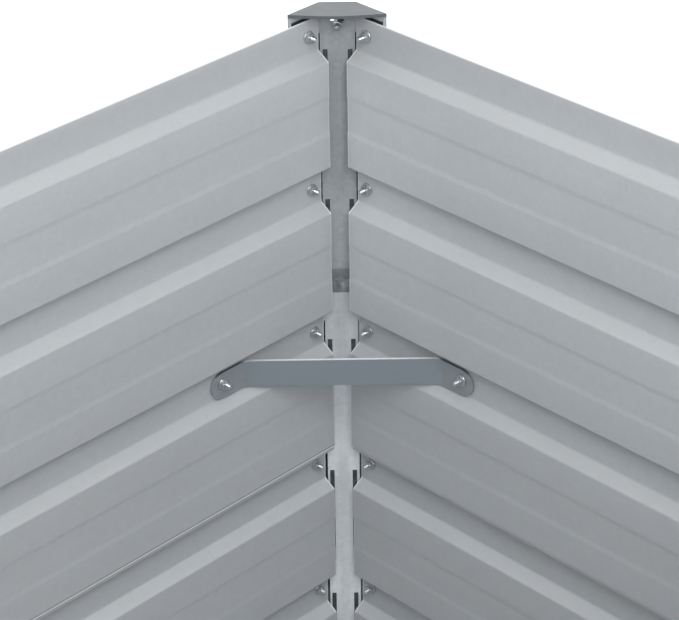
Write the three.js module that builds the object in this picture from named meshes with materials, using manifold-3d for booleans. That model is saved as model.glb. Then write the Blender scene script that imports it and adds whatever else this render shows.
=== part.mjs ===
// A raised garden bed of ribbed steel sheet, two tiers high, with chamfered corner posts.
// Millimetres, +Z up. The origin is on the ground at the middle of the bed, with the length along X.

import * as THREE from 'three';
import { mergeVertices } from 'three/addons/utils/BufferGeometryUtils.js';
import Module from 'manifold-3d';

const wasm = await Module();
wasm.setup();

// Plan, over the corner caps.
const BED_LENGTH = 1600;
const BED_WIDTH = 800;

// Sheet metal and the gap kept between pieces that are clamped together.
const SHEET_THICKNESS = 0.8;
const SEAT_GAP = 0.3;

// Rib profile of a wall sheet, from its top edge down.
const RIB_DEPTH = 12.5;
const TOP_FLAT = 32.6;
const GROOVE_FLAT = 31;
const SLANT_DROP = 8;
const PAN_HEIGHT = 106;
const PANS_PER_SHEET = 3;
const CREASE_DEPTH = 0.5;
const CREASE_DROP = 5;

// Tiers. The lower tier hangs a little lower than its ribs would need to nest in the upper ones.
const TIER_COUNT = 2;
const TIER_SLIP = 5;
const TOP_HOLE_DROP = 16;

// Seam at the middle of a long wall.
const SEAM_LAP = 30;
const SEAM_CLEARANCE = 3;
const SEAM_STEP_RUN = 12;

// Corner, measured from the line where the groove flats of two walls would meet.
const BOLT_FROM_CORNER = 36.6;
const SHEET_END_MARGIN = 12.8;
const FLANGE_MARGIN = 13;
const CHAMFER_HALF_WIDTH = 15.2;
const POST_TOP_DROP = 3;
const STRIP_FOOT_GAP = 1;

// Inner strips: slots on both sides of each fold, and the gap between the two lengths. Each row's slots
// start a little nearer to their bolts than those of the row above.
const SLOT_INNER_EDGE = 9;
const SLOT_WIDTH = 4.3;
const SLOT_BELOW_HOLE = 18.7;
const SLOT_CREEP = 0.8;
const SLOT_LENGTH = 112;
const SLOT_FOOT_MARGIN = 12;
const FLANGE_SLOT_FROM_FOLD = 0.7;
const FLANGE_SLOT_WIDTH = 2.8;
const FLANGE_SLOT_BELOW_HOLE = 2.5;
const FLANGE_SLOT_CREEP = 3.3;
const UPPER_STRIP_ROWS = 2;
const UPPER_STRIP_TAIL = 102;
const STRIP_JOINT_GAP = 16.5;

// Corner cap.
const CAP_THICKNESS = 1;
const CAP_RISE = 9.9;
const CAP_SKIRT_DEPTH = 13;
const CAP_LEG_REACH = 55.7;
const CAP_FRONT_BULGE = 4.3;
const CAP_LIP_DEPTH = 2;
const CAP_END_FLAP_WIDTH = 3.8;
const CAP_END_FLAP_SLOPE_DROP = 6.5;
const CAP_TAB_HALF_WIDTH = 9;
const CAP_TAB_BELOW_HOLE = 8;
const CAP_BOLT_DROP = 10;
const NOTCH_HALF_WIDTH = 6;
const NOTCH_ABOVE_HOLE = 2.3;
const WINDOW_ABOVE_HOLE = 1.4;
const WINDOW_HEIGHT = 13;

// Corner brace.
const BRACE_THICKNESS = 2.8;
const BRACE_HEIGHT = 27.6;
const BRACE_HOLE_FROM_CORNER = 157.8;
const BRACE_BEND_TO_HOLE = 28.4;
const BRACE_ROW = 2;
const BRACE_BELOW_GROOVE_MIDDLE = 1.4;
const BRACE_HOLE_ABOVE_MIDDLE = 2.6;

// Fasteners.
const SHANK_DIAMETER = 5;
const HOLE_CLEARANCE = 0.3;
const HEAD_DIAMETER = 10;
const CAP_HEAD_DIAMETER = 7;
const HEAD_HEIGHT = 2.8;
const NUT_ACROSS_FLATS = 8;
const NUT_HEIGHT = 5;
const NUT_FLANGE_DIAMETER = 11.8;
const NUT_FLANGE_HEIGHT = 1.2;
const TIP_LENGTH = 5.2;
const TIP_CHAMFER = 0.8;

// Facets.
const ROUND_SIDES = 8;
const TAB_SIDES = 8;
const BULGE_STEPS = 6;
const CUT_MARGIN = 5;

// Finishes.
const SHEET_FINISH = { color: 0xa3a8ab, roughness: 0.42, metalness: 0.85 };
const POST_FINISH = { color: 0x7d8487, roughness: 0.5, metalness: 0.8 };
const STRIP_FINISH = { color: 0x858c90, roughness: 0.5, metalness: 0.8 };
const CAP_FINISH = { color: 0x8d9498, roughness: 0.5, metalness: 0.7 };
const BRACE_FINISH = { color: 0x757d83, roughness: 0.5, metalness: 0.8 };
const ZINC_FINISH = { color: 0xc9ced0, roughness: 0.3, metalness: 0.95 };

// Sizes that follow from the ones above.
const SHEET_STEP = SHEET_THICKNESS + SEAT_GAP;
const RIB_PITCH = GROOVE_FLAT + 2 * SLANT_DROP + PAN_HEIGHT;
const SHEET_HEIGHT = TOP_FLAT + SLANT_DROP + PAN_HEIGHT + (PANS_PER_SHEET - 1) * RIB_PITCH;
const TIER_DROP = (PANS_PER_SHEET - 1) * RIB_PITCH + TIER_SLIP;
const TIER_STEP = SHEET_STEP + CREASE_DEPTH * Math.min(1, TIER_SLIP / CREASE_DROP);
const WALL_HEIGHT = SHEET_HEIGHT + (TIER_COUNT - 1) * TIER_DROP;
const ROW_COUNT = PANS_PER_SHEET + (TIER_COUNT - 1) * (PANS_PER_SHEET - 1);

// Layers outside the groove flats, by the distance of their inner faces.
const STRIP_OUT = (TIER_COUNT - 1) * TIER_STEP + SHEET_STEP;
const POST_OUT = STRIP_OUT + SHEET_STEP;
const CAP_OUT = POST_OUT + SHEET_STEP;
const CAP_FACE_OUT = CAP_OUT + CAP_THICKNESS;
const CHAMFER_SUM = CHAMFER_HALF_WIDTH * Math.SQRT2 - 2 * STRIP_OUT;
const SHEET_END = BOLT_FROM_CORNER - SHEET_END_MARGIN;
const FLANGE_REACH = BOLT_FROM_CORNER + FLANGE_MARGIN;
const HALF_LENGTH = BED_LENGTH / 2 - CAP_FACE_OUT;
const HALF_WIDTH = BED_WIDTH / 2 - CAP_FACE_OUT;
const HOLE_RADIUS = (SHANK_DIAMETER / 2 + HOLE_CLEARANCE) / Math.cos(Math.PI / ROUND_SIDES);

// Heights. Row 0 is the top row of bolts.
const rowHeight = (row) => WALL_HEIGHT - TOP_HOLE_DROP - row * RIB_PITCH;
const BRACE_HEIGHT_UP = WALL_HEIGHT - TOP_FLAT + GROOVE_FLAT / 2 - BRACE_ROW * RIB_PITCH
  - BRACE_BELOW_GROOVE_MIDDLE;
const BRACE_HOLE_UP = BRACE_HEIGHT_UP + BRACE_HOLE_ABOVE_MIDDLE;
const CAP_BOLT_UP = WALL_HEIGHT - CAP_BOLT_DROP;
const POST_TOP = WALL_HEIGHT - POST_TOP_DROP;
const UPPER_STRIP_FOOT = rowHeight(UPPER_STRIP_ROWS - 1) - UPPER_STRIP_TAIL;

const corners = [
  { name: 'front_left', x: -HALF_LENGTH, y: -HALF_WIDTH, turn: 0 },
  { name: 'front_right', x: HALF_LENGTH, y: -HALF_WIDTH, turn: 1 },
  { name: 'back_right', x: HALF_LENGTH, y: HALF_WIDTH, turn: 2 },
  { name: 'back_left', x: -HALF_LENGTH, y: HALF_WIDTH, turn: 3 },
];

const walls = [
  { name: 'front', out: HALF_WIDTH, halfRun: HALF_LENGTH, turn: 0, halves: ['left', 'right'] },
  { name: 'right', out: HALF_LENGTH, halfRun: HALF_WIDTH, turn: 1, halves: [] },
  { name: 'back', out: HALF_WIDTH, halfRun: HALF_LENGTH, turn: 2, halves: ['right', 'left'] },
  { name: 'left', out: HALF_LENGTH, halfRun: HALF_WIDTH, turn: 3, halves: [] },
];

const group = new THREE.Group();

function shapeFrom(points) {
  return new THREE.Shape(points.map(([across, up]) => new THREE.Vector2(across, up)));
}

// A plan outline raised between two heights.
function raised(points, low, high) {
  const geometry = new THREE.ExtrudeGeometry(shapeFrom(points), { depth: high - low, bevelEnabled: false });
  geometry.translate(0, 0, low);
  return geometry;
}

function solidFrom(geometry) {
  geometry.deleteAttribute('normal');
  geometry.deleteAttribute('uv');
  const merged = mergeVertices(geometry);
  return new wasm.Manifold(new wasm.Mesh({
    numProp: 3,
    vertProperties: Float32Array.from(merged.attributes.position.array),
    triVerts: Uint32Array.from(merged.index.array),
  }));
}

function geometryFrom(solid) {
  const mesh = solid.getMesh();
  const geometry = new THREE.BufferGeometry();
  geometry.setAttribute('position', new THREE.BufferAttribute(mesh.vertProperties, 3));
  geometry.setIndex(new THREE.BufferAttribute(mesh.triVerts, 1));
  geometry.computeVertexNormals();
  return geometry;
}

function joined(first, ...others) {
  return others.reduce((whole, other) => whole.add(solidFrom(other)), solidFrom(first));
}

function cut(solid, cutters) {
  return cutters.reduce((rest, cutter) => rest.subtract(solidFrom(cutter)), solid);
}

function addMesh(parent, name, geometry, finish) {
  const mesh = new THREE.Mesh(geometry, new THREE.MeshStandardMaterial(finish));
  mesh.name = name;
  parent.add(mesh);
  return mesh;
}

// A round cutter along the wall's inward direction (+Y), centred on the wall.
function boreAcross(along, up, reach) {
  const bore = new THREE.CylinderGeometry(HOLE_RADIUS, HOLE_RADIUS, 2 * reach, ROUND_SIDES);
  bore.rotateY(Math.PI / ROUND_SIDES);
  bore.translate(along, 0, up);
  return bore;
}

// ---------------------------------------------------------------- wall sheets

// Inner face of a sheet from its top edge down, as [inward, height over the ground].
function sheetFace(top) {
  const face = [[0, top]];
  let height = top - TOP_FLAT;
  for (let pan = 0; pan < PANS_PER_SHEET; pan += 1) {
    face.push([0, height]);
    height -= SLANT_DROP;
    face.push([RIB_DEPTH, height]);
    const third = PAN_HEIGHT / 3;
    face.push([RIB_DEPTH, height - third + CREASE_DROP / 2]);
    face.push([RIB_DEPTH - CREASE_DEPTH, height - third - CREASE_DROP / 2]);
    face.push([RIB_DEPTH - CREASE_DEPTH, height - 2 * third + CREASE_DROP / 2]);
    face.push([RIB_DEPTH, height - 2 * third - CREASE_DROP / 2]);
    height -= PAN_HEIGHT;
    face.push([RIB_DEPTH, height]);
    if (pan < PANS_PER_SHEET - 1) {
      height -= SLANT_DROP;
      face.push([0, height]);
      height -= GROOVE_FLAT;
    }
  }
  return face;
}

// The sheet's section carried along the wall. Each station says how far out the sheet is stepped there.
function ribbedSheet(top, out, stations) {
  const face = sheetFace(top);
  const back = face.map(([inward, up]) => [inward - SHEET_THICKNESS, up]).reverse();
  const runs = stations.length - 1;
  const section = shapeFrom([...face, ...back]);
  const geometry = new THREE.ExtrudeGeometry(section, { depth: runs, steps: runs, bevelEnabled: false });
  const position = geometry.attributes.position;
  for (let index = 0; index < position.count; index += 1) {
    const station = stations[Math.round(position.getZ(index))];
    const inward = position.getX(index) - out - station.step;
    position.setXYZ(index, station.along, inward, position.getY(index));
  }
  return geometry;
}

// Stations of the sheet on one side of the seam: side -1 ends inside the lap, side +1 steps out over it.
function seamStations(side, halfRun, steps) {
  const end = SEAM_LAP / 2;
  const stepped = end + SEAM_CLEARANCE;
  const level = stepped + SEAM_STEP_RUN;
  const out = steps * SHEET_STEP;
  const stations = [
    { along: -(halfRun - SHEET_END), step: 0 },
    { along: -level, step: 0 },
    { along: -stepped, step: out },
    { along: end, step: out },
  ];
  if (side < 0) {
    return steps > 0 ? stations : [stations[0], stations[3]];
  }
  return stations.map(({ along, step }) => ({ along: -along, step })).reverse();
}

for (const wall of walls) {
  const frame = new THREE.Group();
  frame.rotation.z = wall.turn * Math.PI / 2;
  group.add(frame);
  for (let tier = 0; tier < TIER_COUNT; tier += 1) {
    const tierName = tier === 0 ? 'upper' : 'lower';
    const top = WALL_HEIGHT - tier * TIER_DROP;
    const firstRow = tier * (PANS_PER_SHEET - 1);
    const out = tier * TIER_STEP;
    const sides = wall.halves.length > 0 ? [-1, 1] : [0];
    sides.forEach((side, index) => {
      const ends = wall.halfRun - SHEET_END;
      const stations = side === 0
        ? [{ along: -ends, step: 0 }, { along: ends, step: 0 }]
        : seamStations(side, wall.halfRun, tier + (side > 0 ? 1 : 0));
      const holes = [];
      const places = side === 0 ? [-1, 1] : [side];
      for (let row = firstRow; row < firstRow + PANS_PER_SHEET; row += 1) {
        for (const place of places) {
          holes.push(boreAcross(place * (wall.halfRun - BOLT_FROM_CORNER), rowHeight(row), RIB_DEPTH));
        }
        if (side !== 0) {
          holes.push(boreAcross(0, rowHeight(row), RIB_DEPTH));
        }
      }
      if (firstRow <= BRACE_ROW && BRACE_ROW < firstRow + PANS_PER_SHEET) {
        for (const place of places) {
          const along = place * (wall.halfRun - BRACE_HOLE_FROM_CORNER);
          holes.push(boreAcross(along, BRACE_HOLE_UP, RIB_DEPTH));
        }
      }
      const sheet = cut(solidFrom(ribbedSheet(top, out, stations)), holes);
      const half = side === 0 ? '' : `_${wall.halves[index]}`;
      const mesh = addMesh(frame, `${wall.name}_${tierName}_sheet${half}`, geometryFrom(sheet), SHEET_FINISH);
      mesh.position.set(0, -wall.out, 0);
    });
  }
}

// ---------------------------------------------------------------- corner pieces

// Plan line of a folded corner face that lies a given distance outside the groove flats.
function cornerLine(out, reach) {
  const sum = CHAMFER_SUM + (STRIP_OUT - out) * Math.SQRT2;
  const fold = sum + out;
  return [[reach, -out], [fold, -out], [-out, fold], [-out, reach]];
}

// Plan of a sheet folded round the corner.
function foldedPlan(out, thickness, reach) {
  return [...cornerLine(out, reach), ...cornerLine(out + thickness, reach).reverse()];
}

// A box square to the corner's diagonal. Across is measured from the diagonal towards the first wall.
function boxOnDiagonal(acrossLow, acrossHigh, low, high) {
  const depth = 2 * CAP_LEG_REACH;
  const box = new THREE.BoxGeometry(acrossHigh - acrossLow, depth, high - low);
  box.translate((acrossLow + acrossHigh) / 2, 0, (low + high) / 2);
  box.rotateZ(-Math.PI / 4);
  return box;
}

function boreOnDiagonal(up) {
  const bore = new THREE.CylinderGeometry(HOLE_RADIUS, HOLE_RADIUS, 2 * CAP_LEG_REACH, ROUND_SIDES);
  bore.rotateY(Math.PI / ROUND_SIDES);
  bore.rotateZ(-Math.PI / 4);
  bore.translate(0, 0, up);
  return bore;
}

// Holes for the bolts of both walls in the flanges of a folded sheet.
function flangeHoles(firstRow, lastRow) {
  const holes = [];
  for (let row = firstRow; row <= lastRow; row += 1) {
    const first = boreAcross(BOLT_FROM_CORNER, rowHeight(row), RIB_DEPTH);
    const second = boreAcross(-BOLT_FROM_CORNER, rowHeight(row), RIB_DEPTH);
    second.rotateZ(-Math.PI / 2);
    holes.push(first, second);
  }
  return holes;
}

// The top notch over the cap bolt.
function topNotch() {
  const low = CAP_BOLT_UP + NOTCH_ABOVE_HOLE;
  return boxOnDiagonal(-NOTCH_HALF_WIDTH, NOTCH_HALF_WIDTH, low, WALL_HEIGHT + CUT_MARGIN);
}

function postSolid() {
  const plan = foldedPlan(POST_OUT, SHEET_THICKNESS, FLANGE_REACH);
  const cutters = [...flangeHoles(0, ROW_COUNT - 1), topNotch(), boreOnDiagonal(CAP_BOLT_UP)];
  return cut(solidFrom(raised(plan, 0, POST_TOP)), cutters);
}

// Slots on both sides of each fold, behind the ribs. None reaches below the given lowest height.
function slotCutters(firstRow, lastRow, lowest) {
  const near = CHAMFER_SUM + STRIP_OUT + FLANGE_SLOT_FROM_FOLD;
  const far = near + FLANGE_SLOT_WIDTH;
  const flangePlan = [[near, -POST_OUT], [far, -POST_OUT], [far, 0], [near, 0]];
  const cutters = [];
  for (let row = firstRow; row <= lastRow; row += 1) {
    const top = rowHeight(row) - SLOT_BELOW_HOLE + row * SLOT_CREEP;
    const low = Math.max(top - SLOT_LENGTH, lowest);
    for (const side of [-1, 1]) {
      const edges = [side * SLOT_INNER_EDGE, side * (SLOT_INNER_EDGE + SLOT_WIDTH)];
      cutters.push(boxOnDiagonal(Math.min(...edges), Math.max(...edges), low, top));
    }
    const flangeTop = rowHeight(row) - FLANGE_SLOT_BELOW_HOLE + row * FLANGE_SLOT_CREEP;
    const flangeSlot = raised(flangePlan, low, flangeTop);
    cutters.push(flangeSlot, mirroredOnDiagonal(flangeSlot));
  }
  return cutters;
}

function upperStripSolid() {
  const plan = foldedPlan(STRIP_OUT, SHEET_THICKNESS, FLANGE_REACH);
  const lastRow = UPPER_STRIP_ROWS - 1;
  const belowFoot = UPPER_STRIP_FOOT - CUT_MARGIN;
  const cutters = [
    ...flangeHoles(0, lastRow), ...slotCutters(0, lastRow, belowFoot), topNotch(),
    boreOnDiagonal(CAP_BOLT_UP),
  ];
  return cut(solidFrom(raised(plan, UPPER_STRIP_FOOT, POST_TOP)), cutters);
}

function lowerStripSolid() {
  const plan = foldedPlan(STRIP_OUT, SHEET_THICKNESS, FLANGE_REACH);
  const top = UPPER_STRIP_FOOT - STRIP_JOINT_GAP;
  const lowest = STRIP_FOOT_GAP + SLOT_FOOT_MARGIN;
  const cutters = [
    ...flangeHoles(UPPER_STRIP_ROWS, ROW_COUNT - 1), ...slotCutters(UPPER_STRIP_ROWS, ROW_COUNT - 1, lowest),
  ];
  return cut(solidFrom(raised(plan, STRIP_FOOT_GAP, top)), cutters);
}

// Front edge of the cap's plate, bulging towards the bed between the two leg ends.
function capFront(inset) {
  const start = new THREE.Vector2(CAP_LEG_REACH, -CAP_FACE_OUT);
  const end = new THREE.Vector2(-CAP_FACE_OUT, CAP_LEG_REACH);
  const edge = [];
  for (let step = 0; step <= BULGE_STEPS; step += 1) {
    const share = step / BULGE_STEPS;
    const bulge = CAP_FRONT_BULGE * Math.sin(Math.PI * share) - inset;
    const point = start.clone().lerp(end, share);
    edge.push([point.x + bulge * Math.SQRT1_2, point.y + bulge * Math.SQRT1_2]);
  }
  return edge;
}

// A small flap that closes the end of the cap's leg on the first wall; its top edge slopes down inwards.
function capEndFlap(under, foot) {
  const inner = -CAP_FACE_OUT + CAP_END_FLAP_WIDTH;
  const flap = new THREE.ExtrudeGeometry(shapeFrom([
    [-CAP_FACE_OUT, foot], [inner, foot], [inner, under - CAP_END_FLAP_SLOPE_DROP], [-CAP_OUT, under],
    [-CAP_FACE_OUT, under],
  ]), { depth: CAP_THICKNESS, bevelEnabled: false });
  return flap.applyMatrix4(new THREE.Matrix4().makeBasis(
    new THREE.Vector3(0, 1, 0), new THREE.Vector3(0, 0, 1), new THREE.Vector3(1, 0, 0),
  )).translate(CAP_LEG_REACH - CAP_THICKNESS, 0, 0);
}

// The same shape on the corner's second wall.
function mirroredOnDiagonal(geometry) {
  const turned = geometry.clone();
  const position = turned.attributes.position;
  for (let index = 0; index < position.count; index += 3) {
    const points = [0, 1, 2].map((step) => new THREE.Vector3().fromBufferAttribute(position, index + step));
    [points[0], points[2], points[1]].forEach((point, step) => {
      position.setXYZ(index + step, point.y, point.x, point.z);
    });
  }
  return turned;
}

function capSolid() {
  const top = WALL_HEIGHT + CAP_RISE;
  const under = top - CAP_THICKNESS;
  const skirtFoot = top - CAP_SKIRT_DEPTH;
  const tabFoot = CAP_BOLT_UP - CAP_TAB_BELOW_HOLE;
  const folded = foldedPlan(CAP_OUT, CAP_THICKNESS, CAP_LEG_REACH);
  const platePlan = [...cornerLine(CAP_FACE_OUT, CAP_LEG_REACH), ...capFront(0).slice(1, -1).reverse()];
  const behindLip = [...capFront(CAP_THICKNESS).reverse(), [-CAP_LEG_REACH, -CAP_LEG_REACH]];
  const lipFoot = under - CAP_LIP_DEPTH;
  const lip = cut(solidFrom(raised(platePlan, lipFoot, top)), [
    raised(behindLip, lipFoot - CUT_MARGIN, top + CUT_MARGIN),
  ]);
  const flap = capEndFlap(under, skirtFoot);
  const tabBox = boxOnDiagonal(-CAP_TAB_HALF_WIDTH, CAP_TAB_HALF_WIDTH, tabFoot, skirtFoot + CAP_THICKNESS);
  const tab = solidFrom(raised(folded, tabFoot, skirtFoot + CAP_THICKNESS)).intersect(solidFrom(tabBox));
  const plate = raised(platePlan, under, top);
  const skirt = raised(folded, skirtFoot, top);
  const shell = joined(plate, skirt, flap, mirroredOnDiagonal(flap)).add(lip).add(tab);
  const windowFoot = CAP_BOLT_UP + WINDOW_ABOVE_HOLE;
  const window = boxOnDiagonal(0, NOTCH_HALF_WIDTH, windowFoot, windowFoot + WINDOW_HEIGHT);
  return cut(shell, [window, boreOnDiagonal(CAP_BOLT_UP)]);
}

// A strip straight across the corner with a round-ended tab flat against the groove of each wall.
function braceSolid() {
  const low = BRACE_HEIGHT_UP - BRACE_HEIGHT / 2;
  const face = SEAT_GAP + BRACE_THICKNESS;
  const fold = BRACE_HOLE_FROM_CORNER - BRACE_BEND_TO_HOLE;
  const back = fold - BRACE_THICKNESS * Math.tan(Math.PI / 8);
  const hole = BRACE_HOLE_FROM_CORNER;
  const bar = raised([
    [hole, face], [fold, face], [face, fold], [face, hole],
    [SEAT_GAP, hole], [SEAT_GAP, back], [back, SEAT_GAP], [hole, SEAT_GAP],
  ], low, low + BRACE_HEIGHT);
  const end = new THREE.CylinderGeometry(BRACE_HEIGHT / 2, BRACE_HEIGHT / 2, BRACE_THICKNESS, 2 * TAB_SIDES);
  end.translate(hole, SEAT_GAP + BRACE_THICKNESS / 2, BRACE_HEIGHT_UP);
  const bore = boreAcross(hole, BRACE_HOLE_UP, RIB_DEPTH);
  return cut(joined(bar, end, mirroredOnDiagonal(end.toNonIndexed())), [
    bore, mirroredOnDiagonal(bore.toNonIndexed()),
  ]);
}

const cornerPieces = [
  { part: 'post', solid: postSolid(), finish: POST_FINISH },
  { part: 'upper_strip', solid: upperStripSolid(), finish: STRIP_FINISH },
  { part: 'lower_strip', solid: lowerStripSolid(), finish: STRIP_FINISH },
  { part: 'cap', solid: capSolid(), finish: CAP_FINISH },
  { part: 'brace', solid: braceSolid(), finish: BRACE_FINISH },
];

const cornerFrames = corners.map((corner) => {
  const frame = new THREE.Group();
  frame.position.set(corner.x, corner.y, 0);
  frame.rotation.z = corner.turn * Math.PI / 2;
  group.add(frame);
  for (const { part, solid, finish } of cornerPieces) {
    addMesh(frame, `${corner.name}_${part}`, geometryFrom(solid), finish);
  }
  return frame;
});

// ---------------------------------------------------------------- fasteners

// A round-headed bolt along +Y. The head's seat is at -outer, the tip is at the given inward distance.
function boltGeometry(outer, tip, headDiameter) {
  const shank = SHANK_DIAMETER / 2;
  const head = headDiameter / 2;
  return new THREE.LatheGeometry([
    [0, -outer - HEAD_HEIGHT], [head * 0.6, -outer - HEAD_HEIGHT * 0.85], [head, -outer - HEAD_HEIGHT * 0.3],
    [head, -outer], [shank, -outer], [shank, tip - TIP_CHAMFER], [shank - TIP_CHAMFER, tip], [0, tip],
  ].map(([radius, along]) => new THREE.Vector2(radius, along)), ROUND_SIDES);
}

// A flanged hexagon nut along +Y that starts at the given inward distance.
function nutGeometry(start, flangeDiameter) {
  const radius = flangeDiameter / 2;
  const flange = new THREE.CylinderGeometry(radius, radius, NUT_FLANGE_HEIGHT, 2 * ROUND_SIDES);
  flange.translate(0, start + NUT_FLANGE_HEIGHT / 2, 0);
  const acrossCorners = NUT_ACROSS_FLATS / Math.cos(Math.PI / 6);
  const body = new THREE.CylinderGeometry(acrossCorners / 2, acrossCorners / 2, NUT_HEIGHT, 6);
  body.translate(0, start + NUT_HEIGHT / 2, 0);
  const bore = new THREE.CylinderGeometry(HOLE_RADIUS, HOLE_RADIUS, 4 * NUT_HEIGHT, ROUND_SIDES);
  bore.translate(0, start, 0);
  return geometryFrom(cut(joined(body, flange), [bore]));
}

// A frame at a place of a corner whose turned +Y points inwards.
function inwardFrame(parent, place, turn) {
  const frame = new THREE.Group();
  frame.position.set(...place);
  frame.rotation.z = turn;
  parent.add(frame);
  return frame;
}

// A bolt between the outer and inner faces of the sheets that it clamps, with room for its nut.
function addBolt(frame, name, outer, inner, headDiameter = HEAD_DIAMETER) {
  const tip = inner + SEAT_GAP + NUT_HEIGHT + TIP_LENGTH;
  addMesh(frame, `${name}_bolt`, boltGeometry(outer + SEAT_GAP, tip, headDiameter), ZINC_FINISH);
}

function addPair(parent, name, place, turn, outer, inner, flangeDiameter, headDiameter) {
  const frame = inwardFrame(parent, place, turn);
  addBolt(frame, name, outer, inner, headDiameter);
  addMesh(frame, `${name}_nut`, nutGeometry(inner + SEAT_GAP, flangeDiameter), ZINC_FINISH);
}

// The two walls of a corner: the first runs along the corner frame's +X, the second along its +Y.
const cornerWalls = [
  { turn: 0, place: (along, up) => [along, 0, up] },
  { turn: -Math.PI / 2, place: (along, up) => [0, along, up] },
];
const postBack = POST_OUT + SHEET_THICKNESS;
const sheetBack = (TIER_COUNT - 1) * TIER_STEP + SHEET_THICKNESS;
const [photographed, , opposite] = cornerFrames;
cornerWalls.forEach(({ turn, place }, index) => {
  const wallName = ['front', 'left'][index];
  for (let row = 0; row < ROW_COUNT; row += 1) {
    const name = `front_left_${wallName}_row_${row + 1}`;
    const spot = place(BOLT_FROM_CORNER, rowHeight(row));
    const inner = row < PANS_PER_SHEET ? 0 : -TIER_STEP;
    addPair(photographed, name, spot, turn, postBack, inner, NUT_FLANGE_DIAMETER);
  }
  addPair(photographed, `front_left_${wallName}_brace`, place(BRACE_HOLE_FROM_CORNER, BRACE_HOLE_UP), turn,
    sheetBack, SEAT_GAP + BRACE_THICKNESS, NUT_FLANGE_DIAMETER);
});

// The top bolts of the opposite corner, whose heads are the bed's furthest points there.
cornerWalls.forEach(({ turn, place }, index) => {
  const frame = inwardFrame(opposite, place(BOLT_FROM_CORNER, rowHeight(0)), turn);
  addBolt(frame, `back_right_${['back', 'right'][index]}_row_1`, postBack, 0);
});

// The cap's bolt runs along the corner's diagonal, through the tab, the post and the inner strip.
const chamferInner = CHAMFER_SUM * Math.SQRT1_2;
addPair(photographed, 'front_left_cap', [0, 0, CAP_BOLT_UP], -Math.PI / 4,
  -(chamferInner - (CAP_FACE_OUT - STRIP_OUT)), chamferInner, NUT_ACROSS_FLATS, CAP_HEAD_DIAMETER);

export default group;
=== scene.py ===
"""Looks of a raised garden bed: ribbed galvanised sheets, folded corner posts, caps, braces and fasteners."""

import bmesh
import bpy
import numpy as np
from bpy.props import FloatProperty, FloatVectorProperty, IntProperty, PointerProperty
from mathutils import Matrix, Vector


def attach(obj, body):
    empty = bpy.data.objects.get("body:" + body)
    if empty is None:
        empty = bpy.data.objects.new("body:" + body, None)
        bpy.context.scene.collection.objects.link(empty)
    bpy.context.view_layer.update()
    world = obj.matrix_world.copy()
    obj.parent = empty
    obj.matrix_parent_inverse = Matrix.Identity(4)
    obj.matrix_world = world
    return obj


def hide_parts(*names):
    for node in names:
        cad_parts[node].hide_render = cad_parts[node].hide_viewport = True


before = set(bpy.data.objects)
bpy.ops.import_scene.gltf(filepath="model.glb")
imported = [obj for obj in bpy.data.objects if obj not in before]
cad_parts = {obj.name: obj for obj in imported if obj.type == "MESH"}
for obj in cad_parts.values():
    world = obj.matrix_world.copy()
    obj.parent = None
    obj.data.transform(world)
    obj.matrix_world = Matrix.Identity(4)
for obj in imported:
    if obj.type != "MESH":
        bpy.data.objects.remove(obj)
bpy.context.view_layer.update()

bl_info = {
    "name": "Raised garden bed",
    "version": (1, 0, 0),
    "blender": (4, 5, 0),
    "location": "View3D > Sidebar > Garden bed",
    "description": "Builds the sheets, corners, fasteners and stage of a ribbed steel garden bed",
    "category": "Add Mesh",
}

# The bed's construction, in metres. The corner line is where the groove flats of two walls would meet.
BED_LENGTH = 1.6
BED_WIDTH = 0.8
SHEET_THICKNESS = 0.0008
SEAT_GAP = 0.0003
SHEET_STEP = SHEET_THICKNESS + SEAT_GAP
RIB_DEPTH = 0.0125
TOP_FLAT = 0.0326
GROOVE_FLAT = 0.031
SLANT_DROP = 0.008
PAN_HEIGHT = 0.106
PANS_PER_SHEET = 3
RIB_PITCH = GROOVE_FLAT + 2 * SLANT_DROP + PAN_HEIGHT
SHEET_HEIGHT = TOP_FLAT + SLANT_DROP + PAN_HEIGHT + (PANS_PER_SHEET - 1) * RIB_PITCH
CREASE_DEPTH = 0.0005
CREASE_HALF_RUN = 0.0025
HEM_RUN_OUT = 0.0004
TOP_HOLE_DROP = 0.016
TIER_SLIP = 0.005
TIER_DROP = (PANS_PER_SHEET - 1) * RIB_PITCH + TIER_SLIP
TIER_STEP = SHEET_STEP + CREASE_DEPTH
WALL_HEIGHT = SHEET_HEIGHT + TIER_DROP
UPPER_SHEET_FOOT = WALL_HEIGHT - SHEET_HEIGHT
ROW_COUNT = 2 * PANS_PER_SHEET - 1
STRIP_OUT = TIER_STEP + SHEET_STEP
POST_BACK_OUT = STRIP_OUT + SHEET_STEP + SHEET_THICKNESS
CAP_THICKNESS = 0.001
CAP_STACK = 2 * SHEET_STEP + CAP_THICKNESS
CAP_FACE_OUT = STRIP_OUT + CAP_STACK
HALF_LENGTH = BED_LENGTH / 2 - CAP_FACE_OUT
HALF_WIDTH = BED_WIDTH / 2 - CAP_FACE_OUT
SHEET_END = 0.0238
BOLT_FROM_CORNER = 0.0366
BRACE_HOLE_FROM_CORNER = 0.1578
BRACE_BEND_TO_HOLE = 0.0284
BRACE_FOLD_OFF_DIAGONAL = (BRACE_HOLE_FROM_CORNER - BRACE_BEND_TO_HOLE) * 0.5**0.5
BRACE_FACE = 0.0031
BRACE_BOLT_RISE = 0.0012
BRACE_BOLT_UP = WALL_HEIGHT - TOP_FLAT + GROOVE_FLAT / 2 - 2 * RIB_PITCH + BRACE_BOLT_RISE
CAP_BOLT_DROP = 0.01
CAP_BOLT_UP = WALL_HEIGHT - CAP_BOLT_DROP
CAP_FLAP_REACH = 0.0545
CHAMFER_HALF_WIDTH = 0.0152
CHAMFER_FACE = CHAMFER_HALF_WIDTH - STRIP_OUT * 2**0.5
UPPER_STRIP_TAIL = 0.102
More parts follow.
